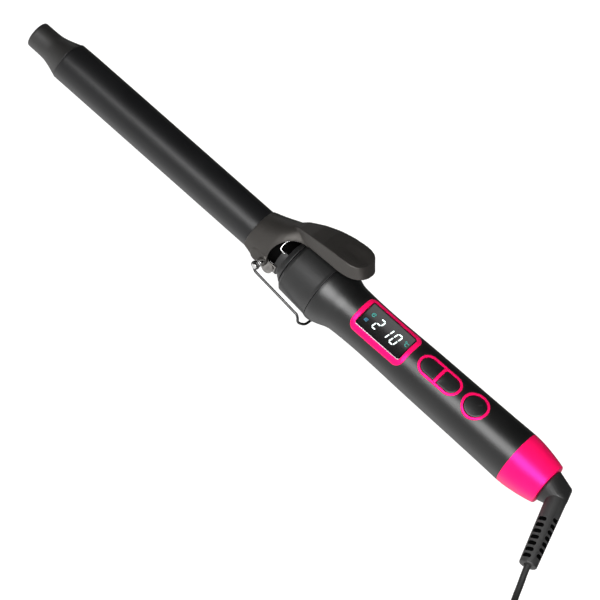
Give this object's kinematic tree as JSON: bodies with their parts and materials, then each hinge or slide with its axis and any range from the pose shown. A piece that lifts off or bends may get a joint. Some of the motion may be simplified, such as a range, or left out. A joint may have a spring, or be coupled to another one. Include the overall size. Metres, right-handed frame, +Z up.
{
  "type": "curling wand",
  "caption": "Slim hair curling wand with a spring clamp, heated barrel, wire stand, display and buttons on a round handle, and a swivelling cord.",
  "frame": {"origin": "on the surface that the wand lies on, under the middle of the wand without its cord", "axes": "+X along the wand from the cool tip to the cord end, +Z up to the thumb lever; the controls face -Y and +Z"},
  "size_m": [0.543, 0.118, 0.0592],
  "materials": {
    "tip_plastic": "fine matt moulded heat-resistant plastic",
    "barrel_coating": "satin baked ceramic coating",
    "lever_plastic": "soft matt moulded plastic",
    "handle_plastic": "satin soft-touch lacquer",
    "collar_plastic": "satin moulded plastic",
    "pink_gloss": "satin-gloss bright pink plastic",
    "lens_glass": "polished smoked lens",
    "display_black": "lit display behind the lens",
    "button_plastic": "fine matt rubberised plastic",
    "chrome": "polished",
    "bracket_steel": "satin",
    "screw_steel": "plated",
    "aluminium": "extruded",
    "ceramic": "white heater ceramic",
    "lead_insulation": "glass-braided silicone",
    "board": "green solder mask",
    "inner_plastic": "moulded",
    "brass": "bright",
    "relief_rubber": "soft matt",
    "cord_rubber": "satin sheath",
    "plug_plastic": "matt moulded",
    "pin_metal": "nickel-plated brass"
  },
  "bodies": {
    "wand": {"cool_tip": "tip_plastic", "tip_screw": "screw_steel", "barrel_plug": "aluminium", "barrel_tube": "barrel_coating", "heat_spreaders": "aluminium", "ceramic_heater": "ceramic", "thermistor": "ceramic", "thermal_fuse": "chrome", "heater_leads": "lead_insulation", "neck_bush": "inner_plastic", "neck_ring": "collar_plastic", "heat_collar": "collar_plastic", "hinge_bracket": "bracket_steel", "bracket_screws": "screw_steel", "hinge_pins": "chrome", "pin_sleeves": "chrome", "clamp_spring": "chrome", "handle_sleeve": "handle_plastic", "chassis": "inner_plastic", "main_board": "board", "board_screws": "screw_steel", "tact_switches": "inner_plastic", "display_module": "display_black", "display_bezel": "pink_gloss", "display_lens": "lens_glass", "button_surround": "pink_gloss", "power_ring": "pink_gloss", "end_cap": "pink_gloss", "contact_block": "ceramic", "contact_fingers": "brass"},
    "clamp": {"clip_plate": "barrel_coating", "clip_rivets": "screw_steel", "clamp_lever": "lever_plastic"},
    "stand": {"wire_stand": "chrome"},
    "minus": {"minus_button": "button_plastic"},
    "plus": {"plus_button": "button_plastic"},
    "power": {"power_button": "button_plastic"},
    "cord_end": {"swivel_elbow": "collar_plastic", "swivel_retainer": "screw_steel", "slip_rings": "brass", "strain_relief": "relief_rubber", "cord": "cord_rubber", "cord_coil": "cord_rubber", "cord_tail": "cord_rubber", "plug_body": "plug_plastic", "plug_pins": "pin_metal"}
  },
  "joints": [
    {"name": "clamp_hinge", "type": "hinge", "parent": "wand", "child": "clamp", "pos_m": [-0.01478, 0, 0.0168], "axis": [0, 1, 0], "range_deg": [0, 8], "stiffness_Nm_per_rad": 1.6, "springref_deg": -20.05, "deforming": ["clamp_spring"]},
    {"name": "stand_hinge", "type": "hinge", "parent": "wand", "child": "stand", "pos_m": [-0.01478, 0, 0.0168], "axis": [0, 1, 0], "range_deg": [0, 100]},
    {"name": "minus_press", "type": "slide", "parent": "wand", "child": "minus", "axis": [0.0409, 0.5, -0.8651], "range_m": [0, 0.0005], "stiffness_N_per_m": 1500, "springref_m": -0.0006},
    {"name": "plus_press", "type": "slide", "parent": "wand", "child": "plus", "axis": [0.0409, 0.5, -0.8651], "range_m": [0, 0.0005], "stiffness_N_per_m": 1500, "springref_m": -0.0006},
    {"name": "power_press", "type": "slide", "parent": "wand", "child": "power", "axis": [0.0409, 0.5, -0.8651], "range_m": [0, 0.0005], "stiffness_N_per_m": 1500, "springref_m": -0.0006},
    {"name": "cord_swivel", "type": "hinge", "parent": "wand", "child": "cord_end", "pos_m": [0.19879, 0, 0.0309], "axis": [0.9989, 0, 0.0472], "continuous": true}
  ]
}
